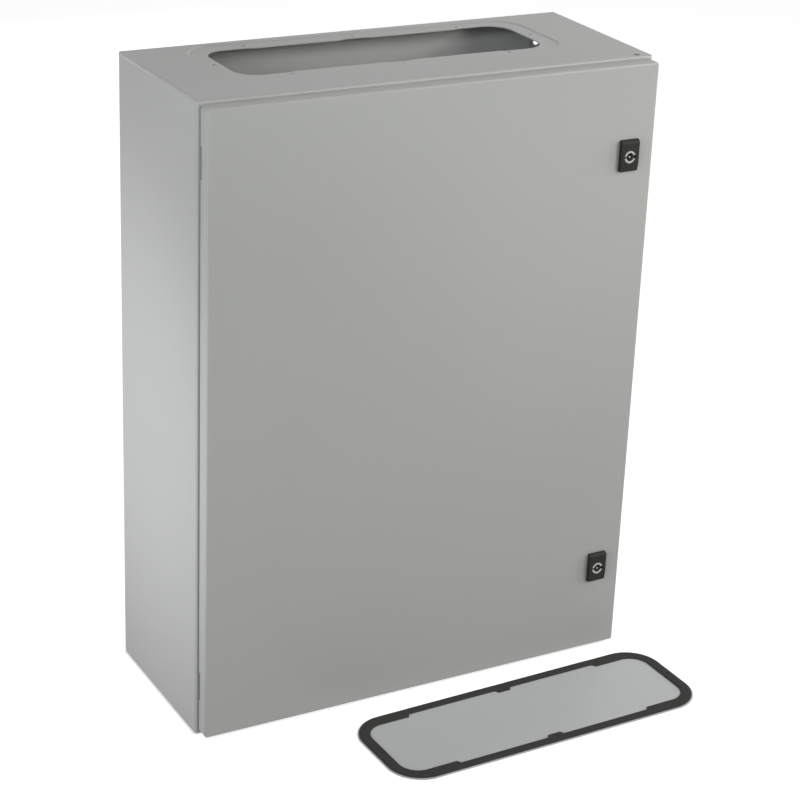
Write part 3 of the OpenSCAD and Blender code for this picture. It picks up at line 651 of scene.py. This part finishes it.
steel = strip_steel("hinge_strip")
for part in ("hinge_bracket", "hinge_leaf"):
    low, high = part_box(part + "_studs")
    hinge_levels = [sum(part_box(level + "_" + part), Vector()).z / 2 for level in ("lower", "upper")]
    spread = high.z - M4_RADIUS - hinge_levels[1]
    screws = [(low.x + M4_RADIUS, z + side * spread) for z in hinge_levels for side in (-1, 1)]
    bars = [threaded_bar(place, high.y, low.y, M4_RADIUS, M4_PITCH) for place in screws]
    seated(skin(part + "_threads", *bars), zinc, part + "_studs")
    low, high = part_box(part + "_nuts")
    nuts = [nut(place, low.y, high.y, M4_FLATS, M4_RADIUS + THREAD_CLEAR) for place in screws]
    seated(skin(part + "_hex_nuts", *nuts), zinc, part + "_nuts")

for level in ("upper", "lower"):
    eased(level + "_hinge_bracket", steel, STRIP_EDGE)
    eased(level + "_hinge_leaf", steel, STRIP_EDGE)
    low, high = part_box(level + "_hinge_pin")
    head = (high.x - low.x) / 2
    neck = high.z - PIN_HEAD
    along = [low.z, low.z, low.z + PIN_CHAMFER, neck, neck, high.z - PIN_CHAMFER]
    radius = [0, PIN_RADIUS - PIN_CHAMFER, PIN_RADIUS, PIN_RADIUS, head, head]
    along += [high.z - PIN_CROWN, high.z]
    radius += [head - PIN_CHAMFER, 0]
    pin = turned(((low.x + high.x) / 2, (low.y + high.y) / 2), along, radius, axis=2)
    seated(skin(level + "_turned_pin", pin), zinc, level + "_hinge_pin")

# ---------- Door ----------
# A pan folded from one sheet with a hem turned in behind, coated like the body, with two welded
# rails of punched strip. A bead of foam, poured in place, seals it against the body's lip.

SEAL_WIDTH = 0.0095
SEAL_CORNER = 0.01275
SEAL_SWELL = 0.006
BAND_ROWS = 17


def foam_skin(name):
    """Charcoal closed-cell foam: fine pits in a matt skin."""
    foam = Finish(name)
    pits = foam.cells(per_metre=1400)
    cloud = foam.noise(per_metre=120)
    return foam.set(
        base_color=(pits * 0.7 + cloud * 0.3).blend((0.030, 0.030, 0.029), (0.060, 0.061, 0.058)),
        roughness=0.92,
        specular=0.2,
        normal=foam.relief(pits, depth=0.00015),
    )


def rounded_outline(width, height, radius, bend, side):
    """Points round a rectangle with round corners, as (x, z) about its middle.

    Each corner is a quarter circle of bend steps, and each side between two corners is a straight
    line of side steps.
    """
    turn = np.linspace(0, np.pi / 2, bend + 1)
    middles = np.array([(1, 1), (-1, 1), (-1, -1), (1, -1)])
    middles = middles * (width / 2 - radius, height / 2 - radius)
    starts = [k * np.pi / 2 for k in range(4)]
    arcs = [
        middle + radius * np.stack([np.cos(turn + start), np.sin(turn + start)], axis=-1)
        for middle, start in zip(middles, starts)
    ]
    sides = [np.linspace(arcs[k][-1], arcs[(k + 1) % 4][0], side + 1)[1:-1] for k in range(4)]
    return np.concatenate([part for pair in zip(arcs, sides) for part in pair])


def seal_bead(low, high, width, corner):
    """A foam bead round a rectangle, with full shoulders, a soft crown and a flat base on the door.

    Across its width its height follows the root of one minus the fourth power. Along its length it
    swells and sinks by a few hundredths of a millimetre, by two waves, as poured foam does.
    """
    across = np.linspace(-1, 1, BAND_ROWS)
    tall = (high.y - low.y) * np.sqrt(np.clip(1 - across**4, 0, 1))
    long_side = high.x - low.x
    tall_side = high.z - low.z
    rows = []
    for step, rise in zip((across + 1) / 2 * width, tall):
        inset = 2 * step
        outline = rounded_outline(long_side - inset, tall_side - inset, corner - step, bend=10, side=60)
        turn = np.linspace(0, 2 * np.pi, len(outline), endpoint=False)
        swell = 1 - SEAL_SWELL * (1 + np.sin(23 * turn) * np.cos(7 * turn))
        rows.append(np.stack([outline[:, 0], low.y + rise * swell, outline[:, 1]], axis=-1))
    bead = np.array(rows + rows[:1])
    bead[..., 0] += (low.x + high.x) / 2
    bead[..., 2] += (low.z + high.z) / 2
    return bead


eased("door_panel", grey_coat)
for side in ("left", "right"):
    eased("door_rail_" + side, grey_coat, STRIP_EDGE)
earth_stud("door_earth", tip_in_front=False)

foam = foam_skin("charcoal_foam")
bead = seal_bead(*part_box("door_seal"), SEAL_WIDTH, SEAL_CORNER)
seated(skin("foam_seal_bead", bead), foam, "door_seal")

# ---------- Locks ----------
# Each lock is a moulded nylon housing pushed through the door and held by a nut on its threaded
# sleeve. A die-cast barrel turns in it, with a double-bit key pin in its recess, and carries
# the pressed cam behind the door on a screw.

COVER_EDGE = 0.0009
COVER_CORNER = 0.0015
COVER_LEDGE = 0.0032
COVER_RISE = (0.90, 1.0)
COVER_FALL = (0.30, 0.75)
EDGE_RINGS = 7
FACE_RINGS = 14
SLEEVE_RINGS = 90
AXIS_BELOW_MIDDLE = 0.0013
FACE_BORE = 0.00785
FACE_CHAMFER = 0.0003
FACE_DEPTH = 0.004
SHANK_BORE = 0.0061
SLEEVE = 0.009
SLEEVE_PITCH = 0.0015
SLEEVE_THREAD = 0.0008
SEAL_EDGE = 0.0001
KEY_PIN = 0.0012
KEY_RIM = 0.0003
LOCK_NUT_FLATS = 0.022
CAM_SCREW = 0.0025
CAM_SCREW_PITCH = 0.0008
CAM_WASHER = 0.006
CAM_WASHER_THICK = 0.0012
CAM_HEAD_THICK = 0.0035
CAM_HEAD_FLATS = 0.008
CAM_HEAD_FULL = 0.40


def eased_step(t):
    """0 below 0 and 1 above 1, and between them three squares less two cubes."""
    t = np.clip(t, 0, 1)
    return t * t * (3 - 2 * t)


def lock_cover(low, high, back):
    """The housing as one closed tube of rings, from the cover's rim over its face and down its bore.

    The face stands out by the ledge at its top, rises to the crown over the barrel and falls to the
    bottom, and its edge is a quarter circle. Rings between the edge and the bore are straight blends
    of the rounded outline and the bore's circle. The sleeve's radius is that of a thread.
    """
    width = high.x - low.x
    height = high.z - low.z
    axis_x = (low.x + high.x) / 2
    middle_z = (low.z + high.z) / 2
    axis_z = middle_z - AXIS_BELOW_MIDDLE
    crown = back - low.y

    def face_at(z):
        """How far the face stands out from the cover's back at a height."""
        part = (z - low.z) / height
        rise = eased_step((COVER_RISE[1] - part) / (COVER_RISE[1] - COVER_RISE[0]))
        fall = eased_step(1 - part / COVER_FALL[0])
        return COVER_LEDGE + (crown - COVER_LEDGE) * rise * (1 - COVER_FALL[1] * fall)

    def outline_at(inset):
        """The cover's outline, moved in by inset."""
        corner = COVER_CORNER - inset
        flat = rounded_outline(width - 2 * inset, height - 2 * inset, corner, bend=8, side=26)
        return flat + (axis_x, middle_z)

    rim = outline_at(0)
    turn = np.arctan2(rim[:, 1] - axis_z, rim[:, 0] - axis_x)
    circle = np.stack([np.cos(turn), np.sin(turn)], axis=-1)

    def row(flat, y):
        """A ring of the tube from its (x, z) points and their depth."""
        return np.stack([flat[:, 0], np.broadcast_to(y, turn.shape), flat[:, 1]], axis=-1)

    def hoop(radius, y):
        """A ring of the tube at a radius round the barrel's axis."""
        return row((axis_x, axis_z) + circle * np.reshape(radius, (-1, 1)), y)

    rows = [row(rim, back)]
    for bend in np.linspace(0, np.pi / 2, EDGE_RINGS):
        flat = outline_at(COVER_EDGE * (1 - np.cos(bend)))
        out = face_at(flat[:, 1]) - COVER_EDGE * (1 - np.sin(bend))
        rows.append(row(flat, back - out))
    edge = outline_at(COVER_EDGE)
    mouth = (axis_x, axis_z) + circle * (FACE_BORE + FACE_CHAMFER)
    for blend in np.linspace(0, 1, FACE_RINGS)[1:]:
        flat = edge * (1 - blend) + mouth * blend
        rows.append(row(flat, back - face_at(flat[:, 1])))
    shoulder = low.y + FACE_DEPTH
    rows += [hoop(FACE_BORE, low.y + FACE_CHAMFER), hoop(FACE_BORE, shoulder)]
    rows += [hoop(SHANK_BORE, shoulder), hoop(SHANK_BORE, high.y)]
    rows.append(hoop(SLEEVE - SLEEVE_THREAD, high.y))
    for y in np.linspace(high.y, back, SLEEVE_RINGS):
        turns = (high.y - y) / SLEEVE_PITCH - turn / (2 * np.pi)
        rows.append(hoop(SLEEVE - SLEEVE_THREAD * groove(turns), y))
    return np.array(rows + rows[:1])


def cam_bolt(place, low, high):
    """The cam's screw, as grids: a hexagon head, the washer pressed in one with it, and a shank."""
    head = high - CAM_HEAD_THICK
    depth = np.append(CHAMFER_DEPTHS, CAM_HEAD_FULL) * CAM_HEAD_FLATS
    hexagon = hexagon_rings(depth, CAM_HEAD_FLATS)
    pole = np.zeros((1, HEXAGON_COLUMNS))
    along = high - np.concatenate([[0], depth, [CAM_HEAD_THICK]])
    top = turned(place, along, np.vstack([pole, hexagon, hexagon[-1:]]))
    base = washer(place, head - CAM_WASHER_THICK, head, CAM_WASHER, CAM_SCREW)
    return top, base, threaded_bar(place, low, head, CAM_SCREW, CAM_SCREW_PITCH)


def die_cast(name, face):
    """Nickel-plated zinc casting, satin, with painted shade in the key recess behind its face.

    face is the middle of the barrel's face. The painted shade, a dark matt grey for the little light
    that reaches into the recess, starts KEY_RIM behind it, and the pin, which is all that lies within
    KEY_PIN of the axis, stays bright.
    """
    nickel = Finish(name)
    cast = nickel.noise(per_metre=900, detail=3)
    offset = nickel.vector("SUBTRACT", nickel.place, face)
    across = nickel.vector("MULTIPLY", offset, (1, 0, 1))
    radius = nickel.vector("LENGTH", across, output="Value")
    depth = nickel.node("ShaderNodeSeparateXYZ", inputs={0: offset}, output="Y")
    pin = 1 - radius.over(KEY_PIN, soft=0.00005)
    # Painted shade: dark, matt and not metallic in the recess behind KEY_RIM, save for the pin.
    painted_recess_shade = depth.over(KEY_RIM, soft=0.00008) * (1 - pin)
    bright = cast.blend((0.33, 0.33, 0.32), (0.40, 0.40, 0.39))
    return nickel.set(
        base_color=painted_recess_shade.blend(bright, (0.085, 0.085, 0.082)),
        metallic=1 - painted_recess_shade,
        roughness=painted_recess_shade * 0.4 + cast * 0.10 + 0.30,
        normal=nickel.relief(cast, depth=0.00001),
    )


for level in ("upper", "lower"):
    low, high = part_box(level + "_lock_housing")
    axis = ((low.x + high.x) / 2, (low.z + high.z) / 2 - AXIS_BELOW_MIDDLE)
    cover = lock_cover(low, high, back=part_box(level + "_lock_seal")[0].y)
    seated(skin(level + "_lock_cover", cover), black, level + "_lock_housing")
    eased(level + "_lock_seal", foam, SEAL_EDGE)

    low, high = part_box(level + "_lock_nut")
    sleeve_nut = nut(axis, low.y, high.y, LOCK_NUT_FLATS, SLEEVE + THREAD_CLEAR)
    seated(skin(level + "_sleeve_nut", sleeve_nut), zinc, level + "_lock_nut")

    face = (axis[0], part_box(level + "_lock_barrel")[0].y, axis[1])
    eased(level + "_lock_barrel", die_cast(level + "_nickel_casting", face), STRIP_EDGE)
    eased(level + "_lock_cam", zinc)
    low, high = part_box(level + "_cam_screw")
    seated(skin(level + "_cam_bolt", *cam_bolt(axis, low.y, high.y)), zinc, level + "_cam_screw")

# ---------- Gland plate ----------
# The plate that closes the opening in the top, taken off and lying with its gasket up. It is cut
# from the same sheet as the body and has the same coat, here a shade lighter: painted light for the
# more light it gets lying on the floor. Its gasket is a band of foam, wider at the corners and at
# mid-length, where the screws go through it.

PLATE_LENGTH = 0.446
PLATE_WIDTH = 0.153
PLATE_CORNER = 0.046
PLATE_EDGE = 0.0002
LOOSE_TURN = math.radians(1.5)
GASKET_MARGIN = 0.0015
GASKET_END = 0.0145
GASKET_SIDE = 0.0122
GASKET_LOBE = 0.0055
GASKET_INNER_CORNER = 0.025
LOBE_HALF = 0.010
LOBE_SLOPE = 0.003
CORNER_ZONE = 0.140
SCREW_ENDS = 0.2135
SCREW_SIDES = 0.065
SCREW_CORNERS = 0.145
PIT_RADIUS = 0.0018
PIT_SHARE = 0.85

plate_low, plate_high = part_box("gland_plate")
plate_middle = (plate_low + plate_high) / 2
cosine, sine = math.cos(LOOSE_TURN), math.sin(LOOSE_TURN)
loose_turn = np.array([[cosine, sine], [-sine, cosine]])


def laid(flat, height):
    """Points (x, y) of the plate's own plan at a height, turned and moved to where the plate lies."""
    plan = flat @ loose_turn + plate_middle[:2]
    return np.concatenate([plan, np.broadcast_to(height, plan.shape[:-1])[..., None]], axis=-1)


def round_plate_corners(mesh):
    """Rounds the plate's corners to PLATE_CORNER: a point outside a corner's circle moves in to it."""
    points = numbers(mesh.vertices, "co", np.float32, 3)
    plan = (points[:, :2] - plate_middle[:2]) @ loose_turn.T
    middles = np.array([PLATE_LENGTH, PLATE_WIDTH]) / 2 - PLATE_CORNER
    past = np.clip(np.abs(plan) - middles, 0, None)
    reach = np.linalg.norm(past, axis=1, keepdims=True)
    pull = PLATE_CORNER / np.maximum(reach, PLATE_CORNER)
    plan = np.sign(plan) * (np.abs(plan) - past * (1 - pull))
    set_points(mesh, laid(plan, points[:, 2]))


def gasket_band(low, high):
    """A foam band between two outlines with round corners, with a pit for each screw.

    On the long sides the inner outline moves in by smooth steps at the corners and at the middle.
    Across the band its height follows the cube root of one minus the eighth power, for full
    shoulders; each pit is a bell, the exponential of minus the fourth power of the distance.
    """
    length = PLATE_LENGTH - 2 * GASKET_MARGIN
    width = PLATE_WIDTH - 2 * GASKET_MARGIN
    narrow = width - 2 * (GASKET_SIDE + GASKET_LOBE)
    short = length - 2 * GASKET_END
    outer = rounded_outline(length, width, PLATE_CORNER - GASKET_MARGIN, bend=40, side=260)
    inner = rounded_outline(short, narrow, GASKET_INNER_CORNER, bend=40, side=260)
    along = np.abs(inner[:, 0])
    past_lobe = eased_step((along - LOBE_HALF + LOBE_SLOPE / 2) / LOBE_SLOPE)
    before_corner = eased_step((CORNER_ZONE + LOBE_SLOPE / 2 - along) / LOBE_SLOPE)
    on_side = np.abs(inner[:, 1]) > narrow / 2 - JOIN
    inner[:, 1] += np.sign(inner[:, 1]) * GASKET_LOBE * past_lobe * before_corner * on_side
    across = (1 - np.cos(np.linspace(0, np.pi, BAND_ROWS)))[:, None, None] / 2
    flat = outer * (1 - across) + inner * across
    crown = np.cbrt(np.clip(1 - (2 * across[..., 0] - 1) ** 8, 0, 1))
    screws = [(side * SCREW_ENDS, 0) for side in (-1, 1)]
    screws += [(x * SCREW_CORNERS, y * SCREW_SIDES) for x in (-1, 0, 1) for y in (-1, 1)]
    pits = np.zeros(flat.shape[:2])
    for screw in screws:
        far = np.linalg.norm(flat - screw, axis=-1) / PIT_RADIUS
        pits = np.maximum(pits, np.exp(-(far**4)))
    band = laid(flat, low + (high - low) * crown * (1 - PIT_SHARE * pits))
    return np.concatenate([band, band[:1]])


# Painted light: the body's grey made a shade lighter, for the more light the plate gets on the floor.
plate_coat = powder_coat("gland_plate_coat", (0.540, 0.551, 0.554), 0.48)
plate = eased("gland_plate", plate_coat, PLATE_EDGE)
round_plate_corners(plate.data)

gasket_low, gasket_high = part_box("gland_gasket")
seated(skin("foam_gasket", gasket_band(gasket_low.z, gasket_high.z)), foam, "gland_gasket")
